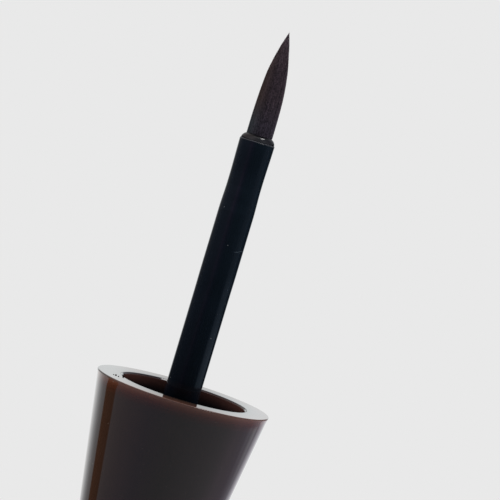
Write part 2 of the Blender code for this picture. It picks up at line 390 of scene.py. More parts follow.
def mouth_acrylic():
    """The same tinted acrylic on the mouth's wall: painted red glow at the rim, painted shade
    deeper down.
    """
    made, tree, shader = new_material("acrylic_tinted_mouth_wall")
    place = add(tree, "ShaderNodeTexCoord").outputs["Object"]
    height = add(tree, "ShaderNodeSeparateXYZ", {0: place}).outputs["Z"]
    # Painted light: bright and red at the rim, fading to painted shade lower in the mouth.
    depth = add(
        tree,
        "ShaderNodeMapRange",
        {
            "Value": height,
            "From Min": (RIM_HEIGHT - 1.3) * MM,
            "From Max": (RIM_HEIGHT - 0.1) * MM,
        },
        interpolation_type="SMOOTHSTEP",
    )
    cloud = add(
        tree, "ShaderNodeTexNoise", {"Vector": place, "Scale": 1 / (1.5 * MM), "Detail": 2.0}
    )
    shade = add(
        tree, "ShaderNodeMapRange", {"Value": cloud.outputs["Fac"], "To Min": 0.8, "To Max": 1.0}
    )
    lit = add(tree, "ShaderNodeMath", {0: depth, 1: shade}, operation="MULTIPLY")
    colour = add(
        tree, "ShaderNodeMix", {0: lit, 6: srgb("#1E181B"), 7: srgb("#5E3D36")}, data_type="RGBA"
    )
    feed(tree, shader, {"Base Color": colour, "Roughness": 0.3, "IOR": 1.49})
    return made


def liner_plastic():
    """Moulded polypropylene, brown-black, with the satin skin of a spark-eroded mould."""
    made, tree, shader = new_material("polypropylene_liner_moulded")
    grain, colour = mottled(tree, size=0.12, detail=3.0, first="#150F0D", second="#211916")
    bump = add(tree, "ShaderNodeBump", {"Strength": 0.25, "Distance": 0.01 * MM, "Height": grain})
    feed(tree, shader, {"Base Color": colour, "Roughness": 0.45, "IOR": 1.49, "Normal": bump})
    return made


def washer_foam():
    """Foamed polyethylene, die cut: fine closed cells of about 0.1 mm, dull and off-white."""
    made, tree, shader = new_material("polyethylene_foam_die_cut")
    place = add(tree, "ShaderNodeTexCoord").outputs["Object"]
    cells = add(
        tree, "ShaderNodeTexVoronoi", {"Vector": place, "Scale": 1 / (0.12 * MM)}, feature="F1"
    )
    colour = add(
        tree,
        "ShaderNodeMix",
        {0: cells.outputs["Distance"], 6: srgb("#B9B4AA"), 7: srgb("#8E897F")},
        data_type="RGBA",
    )
    bump = add(
        tree,
        "ShaderNodeBump",
        {"Strength": 0.5, "Distance": 0.03 * MM, "Height": cells.outputs["Distance"]},
    )
    feed(tree, shader, {"Base Color": colour, "Roughness": 0.8, "Normal": bump})
    return made


def scratch_on_wand(tree, axes, under):
    """A fine scratch, 0.04 mm wide and 1.2 mm long, which climbs as it runs round."""
    turned = add(tree, "ShaderNodeMath", {0: axes["X"], 1: axes["Y"]}, operation="ARCTAN2")
    climb = add(
        tree,
        "ShaderNodeMapRange",
        {
            "Value": turned,
            "From Min": SCRATCH_START[0],
            "From Max": SCRATCH_END[0],
            "To Min": (RIM_HEIGHT + SCRATCH_START[1]) * MM,
            "To Max": (RIM_HEIGHT + SCRATCH_END[1]) * MM,
        },
        interpolation_type="SMOOTHSTEP",
    )
    off = add(tree, "ShaderNodeMath", {0: axes["Z"], 1: climb}, operation="SUBTRACT")
    beside = add(tree, "ShaderNodeMath", {0: off}, operation="ABSOLUTE")
    depth = add(
        tree,
        "ShaderNodeMapRange",
        {"Value": beside, "From Min": 0.035 * MM, "From Max": 0.01 * MM},
    )
    # It fades in slowly and ends short.
    for outside, inside in (
        (SCRATCH_START[0] + math.radians(3), SCRATCH_START[0] - math.radians(7)),
        (SCRATCH_END[0] - math.radians(4), SCRATCH_END[0] + math.radians(1)),
    ):
        end = add(
            tree, "ShaderNodeMapRange", {"Value": turned, "From Min": outside, "From Max": inside}
        )
        depth = add(tree, "ShaderNodeMath", {0: depth, 1: end}, operation="MULTIPLY")
    return add(tree, "ShaderNodeMix", {0: depth, 6: under, 7: srgb("#4C5660")}, data_type="RGBA")


def wand_plastic():
    """Moulded polyethylene rod, blue-black, glossy from a polished mould.

    Its skin holds a few specks of dust and one fine scratch below the waist.
    """
    made, tree, shader = new_material("polyethylene_wand_moulded")
    place = add(tree, "ShaderNodeTexCoord").outputs["Object"]
    axes = add(tree, "ShaderNodeSeparateXYZ", {0: place}).outputs
    flow = add(tree, "ShaderNodeMapping", {"Vector": place, "Scale": (1.0, 1.0, 0.12)})
    streak = add(
        tree, "ShaderNodeTexNoise", {"Vector": flow, "Scale": 1 / (0.5 * MM), "Detail": 4.0}
    )
    body = add(
        tree,
        "ShaderNodeMix",
        {0: streak.outputs["Fac"], 6: srgb("#0B121A"), 7: srgb("#121923")},
        data_type="RGBA",
    )
    speck = specks(tree, place, spacing=1.3, edge=0.038, core=0.021)
    dusty = add(tree, "ShaderNodeMix", {0: speck, 6: body, 7: srgb("#A8A8AC")}, data_type="RGBA")
    scratched = scratch_on_wand(tree, axes, dusty)
    # The chamfer round the end is worn and rough; its light grey is a painted highlight line.
    edge_wear_and_highlight = add(
        tree,
        "ShaderNodeMapRange",
        {
            "Value": axes["Z"],
            "From Min": (WAND_TOP - 0.075) * MM,
            "From Max": (WAND_TOP - 0.06) * MM,
        },
    )
    ended = add(
        tree, "ShaderNodeMix", {0: edge_wear_and_highlight, 6: scratched, 7: srgb("#404248")}, data_type="RGBA"
    )
    gloss = add(
        tree,
        "ShaderNodeMapRange",
        {"Value": streak.outputs["Fac"], "To Min": 0.07, "To Max": 0.12},
    )
    roughness = add(tree, "ShaderNodeMix", {0: edge_wear_and_highlight, 2: gloss, 3: 0.7})
    bump = add(
        tree,
        "ShaderNodeBump",
        {"Strength": 0.04, "Distance": 0.01 * MM, "Height": streak.outputs["Fac"]},
    )
    feed(tree, shader, {"Base Color": ended, "Roughness": roughness, "IOR": 1.51, "Normal": bump})
    return made


def holder_plastic():
    """Moulded nylon bush, black and smooth, so its rounded nose catches one highlight."""
    made, tree, shader = new_material("nylon_bush_moulded")
    clouds, colour = mottled(tree, size=0.4, detail=3.0, first="#0D0D0F", second="#19191B")
    gloss = add(tree, "ShaderNodeMapRange", {"Value": clouds, "To Min": 0.08, "To Max": 0.16})
    feed(tree, shader, {"Base Color": colour, "Roughness": gloss, "IOR": 1.53})
    return made


def anchor_resin():
    """Cured epoxy behind the hairs, amber and slightly cloudy. Nothing shows it."""
    made, tree, shader = new_material("epoxy_cured")
    colour = mottled(tree, size=0.6, detail=2.0, first="#5A4630", second="#7A6242")[1]
    feed(tree, shader, {"Base Color": colour, "Roughness": 0.4})
    return made


def brush_hair():
    """Tapered nylon hair under a dry coat of liner, so it is dull and violet-brown.

    Each hair has its own tone, and the coat lies in fine crumbs. Down the left side painted
    light turns it brown above and grey-green near the lip, and the right side has painted
    shade. The tip holds the most liner, so it is the darkest.
    """
    made, tree, shader = new_material("nylon_hair_coated")
    tone = add(tree, "ShaderNodeAttribute", attribute_name="hair_tone")
    place = add(tree, "ShaderNodeTexCoord").outputs["Object"]
    axes = add(tree, "ShaderNodeSeparateXYZ", {0: place}).outputs
    foot = add(
        tree,
        "ShaderNodeMapRange",
        {
            "Value": axes["Z"],
            "From Min": (NOSE_TOP + 3.5) * MM,
            "From Max": (NOSE_TOP + 1.0) * MM,
        },
    )
    along = add(tree, "ShaderNodeMapping", {"Vector": place, "Scale": (1.0, 1.0, 0.75)})
    crumbs = add(
        tree, "ShaderNodeTexNoise", {"Vector": along, "Scale": 1 / (0.13 * MM), "Detail": 2.0}
    )
    uneven = add(
        tree,
        "ShaderNodeMapRange",
        {"Value": crumbs.outputs["Fac"], "From Min": 0.41, "From Max": 0.59},
    )
    mixed = add(tree, "ShaderNodeMix", {0: 0.6, 2: tone.outputs["Fac"], 3: uneven})
    # Each tone changes from the first colour to the second near the tuft's foot.
    tones = {}
    for name, above, below in (
        ("dark", "#29232A", "#23212B"),
        # The last tone is painted light from the left.
        ("pale", "#72606B", "#685D6E"),
        ("painted_left_light", "#4A3B34", "#3B4347"),
    ):
        tones[name] = add(
            tree,
            "ShaderNodeMix",
            {0: foot, 6: srgb(above), 7: srgb(below)},
            data_type="RGBA",
            label=name,
        )
    coat = add(
        tree, "ShaderNodeMix", {0: mixed, 6: tones["dark"], 7: tones["pale"]}, data_type="RGBA"
    )
    # Painted light down the left side, painted shade on the right, and the loaded tip.
    for value, first, last, most, colour in (
        (axes["X"], -0.2, -1.1, 0.85, tones["painted_left_light"]),
        (axes["X"], 0.0, 0.8, 0.25, srgb("#1C181E")),
        (axes["Z"], NOSE_TOP + 5.6, NOSE_TOP + 7.2, 0.4, srgb("#171314")),
    ):
        amount = add(
            tree,
            "ShaderNodeMapRange",
            {"Value": value, "From Min": first * MM, "From Max": last * MM, "To Max": most},
        )
        coat = add(tree, "ShaderNodeMix", {0: amount, 6: coat, 7: colour}, data_type="RGBA")
    feed(tree, shader, {"Base Color": coat, "Roughness": 0.72, "IOR": 1.5})
    return made


def dried_crust():
    """Dried liner: a black film that has cracked into crumbs, matt and slightly brown."""
    made, tree, shader = new_material("liner_film_dried")
    colour = mottled(tree, size=0.04, detail=2.0, first="#0D0B0B", second="#2B2524")[1]
    feed(tree, shader, {"Base Color": colour, "Roughness": 0.9, "IOR": 1.45})
    return made


# Turned pieces


def arc(centre, radius, start, end, steps):
    """Points on an arc, with both ends, for angles in degrees from +X."""
    points = []
    for step in range(steps + 1):
        angle = math.radians(start + (end - start) * step / steps)
        x = centre[0] + radius * math.cos(angle)
        z = centre[1] + radius * math.sin(angle)
        points.append((x, z))
    return points


def refine(profile, closed, step, support=0.03):
    """Adds points so that no stretch is long and each corner has a close neighbour."""
    ends = list(zip(profile, profile[1:]))
    if closed:
        ends.append((profile[-1], profile[0]))
    points = []
    for first, second in ends:
        length = math.dist(first, second)
        count = max(math.ceil(length / step), 1)
        shares = [index / count for index in range(count)]
        if length > 4 * support:
            shares += [support / length, 1 - support / length]
        for share in sorted(shares):
            x = first[0] + (second[0] - first[0]) * share
            z = first[1] + (second[1] - first[1]) * share
            points.append((x, z))
    if not closed:
        points.append(profile[-1])
    return points


def eased(value, start, end):
    """0 before start and 1 after end, with a smooth rise between them."""
    share = min(max((value - start) / (end - start), 0.0), 1.0)
    return share * share * (3 - 2 * share)


def wand_sway(height):
    """How far the wand stands off the axis: none at its collar, most above the mouth."""
    return -WAND_LEAN * eased(height, RIM_HEIGHT - 9.5, RIM_HEIGHT + 0.5)


def lean(radius, height):
    """The shift of a turned row that follows the wand."""
    return (wand_sway(height), 0.0)


def turn(name, profile, segments, closed, materials, choose=None, ridge=None, shift=None):
    """Turn a profile of (radius, height) round the axis into a closed body.

    choose gives the material slot of the face between two points, ridge an addition to
    the radius at an angle, and shift a move of the whole row off the axis.
    """
    shape = bmesh.new()
    rows = []
    for radius, height in profile:
        if radius < 1e-6:
            rows.append([shape.verts.new((0.0, 0.0, height * MM))])
            continue
        aside = shift(radius, height) if shift else (0.0, 0.0)
        row = []
        for index in range(segments):
            angle = math.tau * index / segments
            reach = radius
            if ridge:
                reach += ridge(angle, radius, height)
            x = reach * math.cos(angle) + aside[0]
            y = reach * math.sin(angle) + aside[1]
            row.append(shape.verts.new(Vector((x, y, height)) * MM))
        rows.append(row)
    pairs = list(zip(rows, rows[1:]))
    if closed:
        pairs.append((rows[-1], rows[0]))
    for number, (first, second) in enumerate(pairs):
        slot = choose(profile[number], profile[(number + 1) % len(profile)]) if choose else 0
        for index in range(segments):
            after = (index + 1) % segments
            if len(first) == 1:
                corners = (first[0], second[after], second[index])
            elif len(second) == 1:
                corners = (first[index], first[after], second[0])
            else:
                corners = (first[index], first[after], second[after], second[index])
            face = shape.faces.new(corners)
            face.material_index = slot
            face.smooth = True
    bmesh.ops.recalc_face_normals(shape, faces=shape.faces)
    made = keep_mesh(name, shape, materials)
    made.data.set_sharp_from_angle(angle=math.radians(40))
    return made


def keep_mesh(name, shape, materials):
    """Turn a bmesh into an object of the scene."""
    mesh = bpy.data.meshes.new(name)
    shape.to_mesh(mesh)
    shape.free()
    for item in materials:
        mesh.materials.append(item)
    made = bpy.data.objects.new(name, mesh)
    bpy.context.scene.collection.objects.link(made)
    return made


def shell_radius(depth):
    """Outer radius of the shell at a depth below the rim. The rim itself flares a little."""
    flare = RIM_FLARE * max(1 - depth / FLARE_DEPTH, 0.0) ** 2
    straight = RIM_RADIUS - RIM_FLARE
    if depth <= CONE_LENGTH:
        return straight + flare - depth * math.tan(CONE_ANGLE)
    cone_end = straight - CONE_LENGTH * math.tan(CONE_ANGLE)
    bend = EASE_LENGTH / (math.sin(CONE_ANGLE) - math.sin(HANDLE_DRAFT))
    along = min(depth - CONE_LENGTH, EASE_LENGTH)
    turned = math.asin(math.sin(CONE_ANGLE) - along / bend)
    radius = cone_end - bend * (math.cos(turned) - math.cos(CONE_ANGLE))
    beyond = max(depth - CONE_LENGTH - EASE_LENGTH, 0.0)
    return radius - beyond * math.tan(HANDLE_DRAFT)


def make_shell(outside, mouth):
    """Tinted shell: crisp outer rim, flat polished face, small chamfer into the mouth."""
    rim = RIM_HEIGHT
    edge_centre = (shell_radius(RIM_EDGE) - RIM_EDGE, rim - RIM_EDGE)
    outer = arc(edge_centre, RIM_EDGE, 90, 0, 6)
    depths = [0.2, 0.35, 0.5, 0.7, FLARE_DEPTH]
    cone_steps = 14
    for step in range(1, cone_steps + 1):
        depths.append(FLARE_DEPTH + (CONE_LENGTH - FLARE_DEPTH) * step / cone_steps)
    ease_steps = 22
    for step in range(1, ease_steps + 1):
        depths.append(CONE_LENGTH + EASE_LENGTH * step / ease_steps)
    outer += [(shell_radius(depth), rim - depth) for depth in depths]
    end_radius = shell_radius(rim - END_ROUND)
    outer += arc((end_radius - END_ROUND, END_ROUND), END_ROUND, 0, -90, 8)
    outer.append((0.0, 0.0))
    inner = [
        (0.0, END_WALL),
        (CORE_END_RADIUS - CORE_ROUND, END_WALL),
        (CORE_END_RADIUS - 0.24, END_WALL + 0.23),
        (CORE_END_RADIUS, END_WALL + CORE_ROUND),
        (CORE_RADIUS, rim - BOSS_SOCKET_DEPTH),
        (BOSS_SOCKET_RADIUS, rim - BOSS_SOCKET_DEPTH),
        (BOSS_SOCKET_RADIUS, rim - SKIRT_SOCKET_DEPTH),
        (SKIRT_SOCKET_RADIUS, rim - SKIRT_SOCKET_DEPTH),
        (SKIRT_SOCKET_RADIUS, rim - LEDGE_DEPTH),
        (MOUTH_RADIUS, rim - LEDGE_DEPTH),
        (MOUTH_RADIUS, rim - 3.6),
        (MOUTH_RADIUS, rim - MOUTH_CHAMFER - 0.03),
        (MOUTH_RADIUS + 0.01, rim - MOUTH_CHAMFER),
        (MOUTH_RADIUS + MOUTH_CHAMFER, rim - 0.012),
        (MOUTH_RADIUS + MOUTH_CHAMFER + 0.03, rim),
    ]

    def wall_finish(first, second):
        """The mouth's finish inside the hollow, and the lacquered one elsewhere."""
        narrow = max(first[0], second[0]) <= MOUTH_RADIUS + 0.02
        above_end = first[1] > END_WALL - 0.1
        off_outside = first[0] < shell_radius(rim - first[1]) - 0.4
        return 1 if narrow and above_end and off_outside else 0

    def off_centre(radius, height):
        """The mouth's shift, which fades out above the ledge that the liner sits on."""
        if radius > MOUTH_RADIUS + MOUTH_CHAMFER + 0.06:
            return (0.0, 0.0)
        share = eased(height, rim - 3.9, rim - 2.0)
        return (MOUTH_SHIFT[0] * share, MOUTH_SHIFT[1] * share)

    profile = refine(inner + outer, False, 1.0)
    return turn(
        "cap_shell", profile, 240, False, [outside, mouth], wall_finish, shift=off_centre
    )


def make_flecks(crust):
    """Flecks of dried liner on the rim's left: low uneven lumps, wider than they are tall."""
    shape = bmesh.new()
    chamfer_radius = MOUTH_RADIUS + MOUTH_CHAMFER
    for number, (x, y, width, height) in enumerate(RIM_FLECKS):
        from_mouth = math.hypot(x - MOUTH_SHIFT[0], y - MOUTH_SHIFT[1])
        seat = RIM_HEIGHT - max(chamfer_radius - from_mouth, 0.0)
        lump = bmesh.ops.create_icosphere(shape, subdivisions=2, radius=1.0)["verts"]
        for vertex in lump:
            swell = 1 + 0.35 * noise.noise(vertex.co * 1.7 + Vector((9.0 * number, 0.0, 0.0)))
            vertex.co = Vector(
                (
                    x + vertex.co.x * swell * width / 2,
                    y + vertex.co.y * swell * width / 2,
                    seat + 0.2 * height + vertex.co.z * swell * 0.8 * height,
                )
            ) * MM
    for face in shape.faces:
        face.smooth = True
    bmesh.ops.recalc_face_normals(shape, faces=shape.faces)
    return keep_mesh("rim_flecks", shape, [crust])


def make_liner(plastic):
    """Pressed-in liner: a lip on the shell's ledge, a plain bore for the thread, a deck."""
    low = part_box("inner_cap")[0].z / MM
    top = LINER_TOP
    lip = MOUTH_RADIUS - 0.04
    skirt = SKIRT_SOCKET_RADIUS - FIT
    skirt_end = RIM_HEIGHT - SKIRT_SOCKET_DEPTH + FIT
    boss = BOSS_SOCKET_RADIUS - FIT
    root = ROOT_RADIUS + FIT
    collar = COLLAR_RADIUS + FIT
    deck = RIM_HEIGHT - DECK_DEPTH
    profile = [
        (0.0, low + SOCKET_FLOOR),
        (root, low + SOCKET_FLOOR),
        (root, deck - COLLAR_RECESS),
        (collar, deck - COLLAR_RECESS),
        (collar, deck),
        (LINER_BORE, deck),
        (LINER_BORE, top - 0.35),
        (LINER_BORE + 0.35, top),
        (lip - 0.12, top),
        (lip - 0.035, top - 0.035),
        (lip, top - 0.12),
        (lip, top - LINER_LIP),
        (skirt, top - LINER_LIP),
        (skirt, skirt_end + 0.2),
        (skirt - 0.2, skirt_end),
        (boss, skirt_end),
        (boss, low + 0.3),
        (boss - 0.3, low),
        (0.0, low),
    ]
    return turn("threaded_liner", refine(profile, False, 1.5), 160, False, [plastic])


def make_washer(foam):
    """Die-cut seal washer, its cut edges slightly rounded by the punch."""
    low, high = (corner.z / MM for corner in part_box("seal_washer"))
    inner = WAND_RADIUS + FIT
    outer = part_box("seal_washer")[1].x / MM
    inner_round = 0.06
    outer_round = 0.12
    profile = arc((inner + inner_round, high - inner_round), inner_round, 180, 90, 3)
    profile += arc((outer - outer_round, high - outer_round), outer_round, 90, 0, 4)
    profile += [(outer, low), (inner, low)]
    return turn("foam_washer", refine(profile, True, 0.8), 128, True, [foam])


def smooth_between(stations, height):
    """Radius at a height, eased between measured stations of (height, radius)."""
    for (low, first), (high, second) in zip(stations, stations[1:]):
        if low <= height <= high:
            return first + (second - first) * eased(height, low, high)
    return stations[-1][1]


def make_wand(plastic):
    """Moulded wand: nearly straight, a slight sink and waist by the brush, a parting line."""
    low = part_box("wand")[0].z / MM
    rim = RIM_HEIGHT
    deck = rim - DECK_DEPTH
    stations = [
        (deck, 1.714),
        (rim + 9.4, 1.714),
        (rim + 12.0, 1.728),
        (rim + 17.7, 1.725),
        (rim + 20.4, 1.654),
        (rim + 21.0, 1.654),
        (WAND_TOP, WAND_END_RADIUS),
    ]
    # The bore's edge is chamfered, and a thread of flash runs round below the chamfer.
    flash = WAND_END_RADIUS + 0.012
    profile = [
        (WAND_END_RADIUS - 0.06, WAND_TOP),
        (WAND_END_RADIUS - 0.004, WAND_TOP - 0.066),
        (flash, WAND_TOP - 0.08),
        (flash, WAND_TOP - 0.09),
        (WAND_END_RADIUS, WAND_TOP - 0.104),
    ]
    steps = 72
    first = WAND_TOP - 0.115
    last = deck + 0.06
    for step in range(steps + 1):
        height = first + (last - first) * step / steps
        profile.append((smooth_between(stations, height), height))
    profile += [
        (WAND_RADIUS + 0.03, deck + 0.015),
        (WAND_RADIUS + 0.08, deck),
        (COLLAR_RADIUS - 0.1, deck),
        (COLLAR_RADIUS, deck - 0.1),
        (COLLAR_RADIUS, deck - 0.8),
        (ROOT_RADIUS, deck - 0.8),
        (ROOT_RADIUS, low + 0.4),
        (ROOT_RADIUS - 0.25, low),
        (WAND_BORE, low),
        (WAND_BORE, WAND_END - HOLDER_BORE_DEPTH),
        (HOLDER_BORE, WAND_END - HOLDER_BORE_DEPTH),
        (HOLDER_BORE, WAND_TOP),
    ]

    def seam(angle, radius, height):
        """The mould's parting line: a ridge 0.1 mm wide and 0.012 mm high, on two sides."""
        if radius < 1.5 or height < deck + 0.3 or height > WAND_END - 0.1:
            return 0.0
        off = math.remainder(angle - WAND_SEAM_ANGLE, math.pi) * radius
        return 0.012 * math.exp(-((off / 0.05) ** 2))

    profile = refine(profile, True, 1.0)
    return turn("moulded_wand", profile, 256, True, [plastic], ridge=seam, shift=lean)


def make_nose(plastic):
    """Brush holder: its round nose stands out of the wand, with a fine lip at the hairs."""
    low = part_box("brush_holder")[0].z / MM
    top = NOSE_TOP
    seat = WAND_TOP + 0.008
    shank = HOLDER_BORE - FIT
    centre = (
        NOSE_SHOULDER - NOSE_ROUND * math.cos(math.radians(5)),
        top - 0.04 - NOSE_ROUND * math.sin(math.radians(60)),
    )
    lip = [
        (1.245, top - 0.03),
        (1.256, top - 0.006),
        (1.275, top),
        (1.292, top - 0.004),
        (1.312, top - 0.018),
    ]
    round_nose = arc(centre, NOSE_ROUND, 60, 5, 14)
    inside_wand = [
        (NOSE_SHOULDER, seat + 0.01),
        (NOSE_SHOULDER - 0.015, seat),
        (shank, seat),
        (shank, low + 0.2),
        (shank - 0.1, low),
        (HAIR_BORE, low),
        (HAIR_BORE, top - HAIR_ROOT_DEPTH),
    ]

    profile = refine(lip + round_nose + inside_wand, True, 1.0, 0.01)
    return turn("holder_nose", profile, 128, True, [plastic], shift=lean)


# Pieces that follow a rule, made by geometry nodes


def new_tree(name, inputs):
    """A geometry tree with these named inputs, and its input node."""
    tree = bpy.data.node_groups.new(name, "GeometryNodeTree")
    for label, kind, value in inputs:
        socket = tree.interface.new_socket(label, in_out="INPUT", socket_type=kind)
        if value is not None:
            socket.default_value = value
    tree.interface.new_socket("Geometry", in_out="OUTPUT", socket_type="NodeSocketGeometry")
    start = tree.nodes.new("NodeGroupInput")
    return tree, start


def grow(name, tree, finish):
    """Run a node tree on an empty mesh and keep its result as a plain mesh."""
    holder = bpy.data.objects.new(name, bpy.data.meshes.new(name + "_seed"))
    bpy.context.scene.collection.objects.link(holder)
    change = holder.modifiers.new("rule", "NODES")
    change.node_group = tree
    for item in tree.interface.items_tree:
        if item.in_out == "INPUT" and item.name == "Finish":
            change[item.identifier] = finish
    graph = bpy.context.evaluated_depsgraph_get()
    mesh = bpy.data.meshes.new_from_object(holder.evaluated_get(graph))
    mesh.name = name
    holder.modifiers.remove(change)
    holder.data = mesh
    return holder


def thread_tree():
    """A right-handed ridge of trapezium section that winds down the liner's bore."""
    height = LINER_TOP - LINER_LIP - WASHER_TOP - THREAD_WIDTH
    tree, start = new_tree(
        "neck_thread",
        [
            ("Bore Radius", "NodeSocketFloat", LINER_BORE * MM),
            ("Pitch", "NodeSocketFloat", THREAD_PITCH * MM),
            ("Height", "NodeSocketFloat", height * MM),
            ("Depth", "NodeSocketFloat", THREAD_DEPTH * MM),
            ("Width", "NodeSocketFloat", THREAD_WIDTH * MM),
            ("Start Height", "NodeSocketFloat", (WASHER_TOP + 0.5 * THREAD_WIDTH) * MM),
            ("Finish", "NodeSocketMaterial", None),
        ],
    )
    turns = add(
        tree,
        "ShaderNodeMath",
        {0: start.outputs["Height"], 1: start.outputs["Pitch"]},
        operation="DIVIDE",
    )
    helix = add(
        tree,
        "GeometryNodeCurveSpiral",
        {
            "Resolution": 96,
            "Rotations": turns,
            "Start Radius": start.outputs["Bore Radius"],
            "End Radius": start.outputs["Bore Radius"],
            "Height": start.outputs["Height"],
        },
    )
    upright = add(tree, "GeometryNodeSetCurveNormal", {"Curve": helix}, mode="Z_UP")
    # The ridge rises out of the wall over its first and last eighth of a turn.
    share = add(tree, "GeometryNodeSplineParameter")
    fade_in = add(
        tree,
        "ShaderNodeMapRange",
        {"Value": share.outputs["Factor"], "From Max": 0.06, "To Min": 0.15, "To Max": 1.0},
    )
    fade_out = add(
        tree,
        "ShaderNodeMapRange",
        {"Value": share.outputs["Factor"], "From Min": 0.94, "To Min": 1.0, "To Max": 0.15},
    )
    fade = add(tree, "ShaderNodeMath", {0: fade_in, 1: fade_out}, operation="MINIMUM")
    section = add(
        tree,
        "GeometryNodeCurvePrimitiveQuadrilateral",
        {
            "Height": start.outputs["Depth"],
            "Bottom Width": start.outputs["Width"],
            "Top Width": 0.4 * THREAD_WIDTH * MM,
            "Offset": 0.0,
        },
        mode="TRAPEZOID",
    )
    turned = add(
        tree,
        "GeometryNodeTransform",
        {"Geometry": section, "Rotation": (0.0, 0.0, math.radians(90))},
    )
    ridge = add(
        tree,
        "GeometryNodeCurveToMesh",
        {"Curve": upright, "Profile Curve": turned, "Scale": fade, "Fill Caps": True},
    )
    lift = add(tree, "ShaderNodeCombineXYZ", {"Z": start.outputs["Start Height"]})
    placed = add(tree, "GeometryNodeTransform", {"Geometry": ridge, "Translation": lift})
    real = add(tree, "GeometryNodeRealizeInstances", {"Geometry": placed})
    painted = add(
        tree, "GeometryNodeSetMaterial", {"Geometry": real, "Material": start.outputs["Finish"]}
    )
    add(tree, "NodeGroupOutput", {"Geometry": painted})
    return tree


def sow_hairs(tree, given):
    """Hairs on a sunflower pattern, each a unit cone along Z.

    Each keeps its way, which is its place in a circle of radius 1, and a tone of its own.
    """
    index = add(tree, "GeometryNodeInputIndex")
    middle = add(tree, "ShaderNodeMath", {0: index, 1: 0.5}, operation="ADD")
    part = add(tree, "ShaderNodeMath", {0: middle, 1: given["Count"]}, operation="DIVIDE")
    share = add(tree, "ShaderNodeMath", {0: part}, operation="SQRT")
    angle = add(tree, "ShaderNodeMath", {0: index, 1: GOLDEN_ANGLE}, operation="MULTIPLY")
    cosine = add(tree, "ShaderNodeMath", {0: angle}, operation="COSINE")
    sine = add(tree, "ShaderNodeMath", {0: angle}, operation="SINE")
    compass = add(tree, "ShaderNodeCombineXYZ", {"X": cosine, "Y": sine})
    way = add(tree, "ShaderNodeVectorMath", {0: compass, "Scale": share}, operation="SCALE")
    points = add(tree, "GeometryNodePoints", {"Count": given["Count"]})
    with_way = add(
        tree,
        "GeometryNodeStoreNamedAttribute",
        {"Geometry": points, "Name": "way", "Value": way},
        data_type="FLOAT_VECTOR",
        domain="POINT",
    )
    tone = add(
        tree,
        "FunctionNodeRandomValue",
        {2: 0.0, 3: 1.0, "Seed": given["Seed"]},
        data_type="FLOAT",
    )
    with_tone = add(
        tree,
        "GeometryNodeStoreNamedAttribute",
        {"Geometry": with_way, "Name": "hair_tone", "Value": tone.outputs[1]},
        data_type="FLOAT",
        domain="POINT",
    )
    hair = add(
        tree,
        "GeometryNodeMeshCone",
        {
            "Vertices": 4,
            "Side Segments": 9,
            "Radius Top": 0.0,
            "Radius Bottom": 1.0,
            "Depth": 1.0,
        },
        fill_type="TRIANGLE_FAN",
    )
    sown = add(tree, "GeometryNodeInstanceOnPoints", {"Points": with_tone, "Instance": hair})
    return add(tree, "GeometryNodeRealizeInstances", {"Geometry": sown})


def hair_height(tree, given, share, own_tone, along):
    """Height above the lip, along a hair that reaches its own end.

    Hairs at the axis all reach the tip. Towards the edge they end lower, and unevenly.
    """
    squared = add(tree, "ShaderNodeMath", {0: share, 1: share}, operation="MULTIPLY")
    drop = add(
        tree, "ShaderNodeMath", {0: squared, 1: -EDGE_HAIR_DROP, 2: 1.0}, operation="MULTIPLY_ADD"
    )
    uneven = add(tree, "ShaderNodeMath", {0: own_tone, 1: squared}, operation="MULTIPLY")
    ending = add(
        tree,
        "ShaderNodeMath",
        {0: uneven, 1: -EDGE_HAIR_UNEVEN, 2: drop},
        operation="MULTIPLY_ADD",
    )
    end = add(tree, "ShaderNodeMath", {0: ending, 1: given["Length"]}, operation="MULTIPLY")
    whole = add(tree, "ShaderNodeMath", {0: end, 1: given["Root Depth"]}, operation="ADD")
    risen = add(tree, "ShaderNodeMath", {0: along, 1: whole}, operation="MULTIPLY")
    return add(tree, "ShaderNodeMath", {0: risen, 1: given["Root Depth"]}, operation="SUBTRACT")


def hair_spread(tree, given, height):
    """Radius of the tuft's outline at a height: the throat of the holder, then an ogive."""
    climbed = add(
        tree,
        "ShaderNodeMath",
        {0: height, 1: given["Length"]},
        operation="DIVIDE",
        use_clamp=True,
    )
    curve = add(tree, "ShaderNodeMath", {0: climbed, 1: given["Power"]}, operation="POWER")
    left = add(tree, "ShaderNodeMath", {0: 1.0, 1: curve}, operation="SUBTRACT")
    outline = add(
        tree, "ShaderNodeMath", {0: left, 1: given["Belly Radius"]}, operation="MULTIPLY"
    )
    # Where the outer hairs have ended, the rest spread out to keep the outline full.
    rest = add(tree, "ShaderNodeMath", {0: 1.002, 1: climbed}, operation="SUBTRACT")
    thinned = add(tree, "ShaderNodeMath", {0: EDGE_HAIR_DROP, 1: rest}, operation="DIVIDE")
    opened = add(tree, "ShaderNodeMath", {0: thinned}, operation="SQRT")
    fuller = add(tree, "ShaderNodeMath", {0: opened, 1: 1.0}, operation="MAXIMUM")
    wider = add(tree, "ShaderNodeMath", {0: outline, 1: fuller}, operation="MULTIPLY")
    below = add(tree, "ShaderNodeMath", {0: given["Root Depth"], 1: -1.0}, operation="MULTIPLY")
    throat = add(
        tree,
        "ShaderNodeMapRange",
        {
            "Value": height,
            "From Min": below,
            "From Max": 0.1 * MM,
            "To Min": given["Root Radius"],
            "To Max": given["Belly Radius"],
        },
        interpolation_type="SMOOTHSTEP",
    )
    return add(tree, "ShaderNodeMath", {0: wider, 1: throat}, operation="MINIMUM")


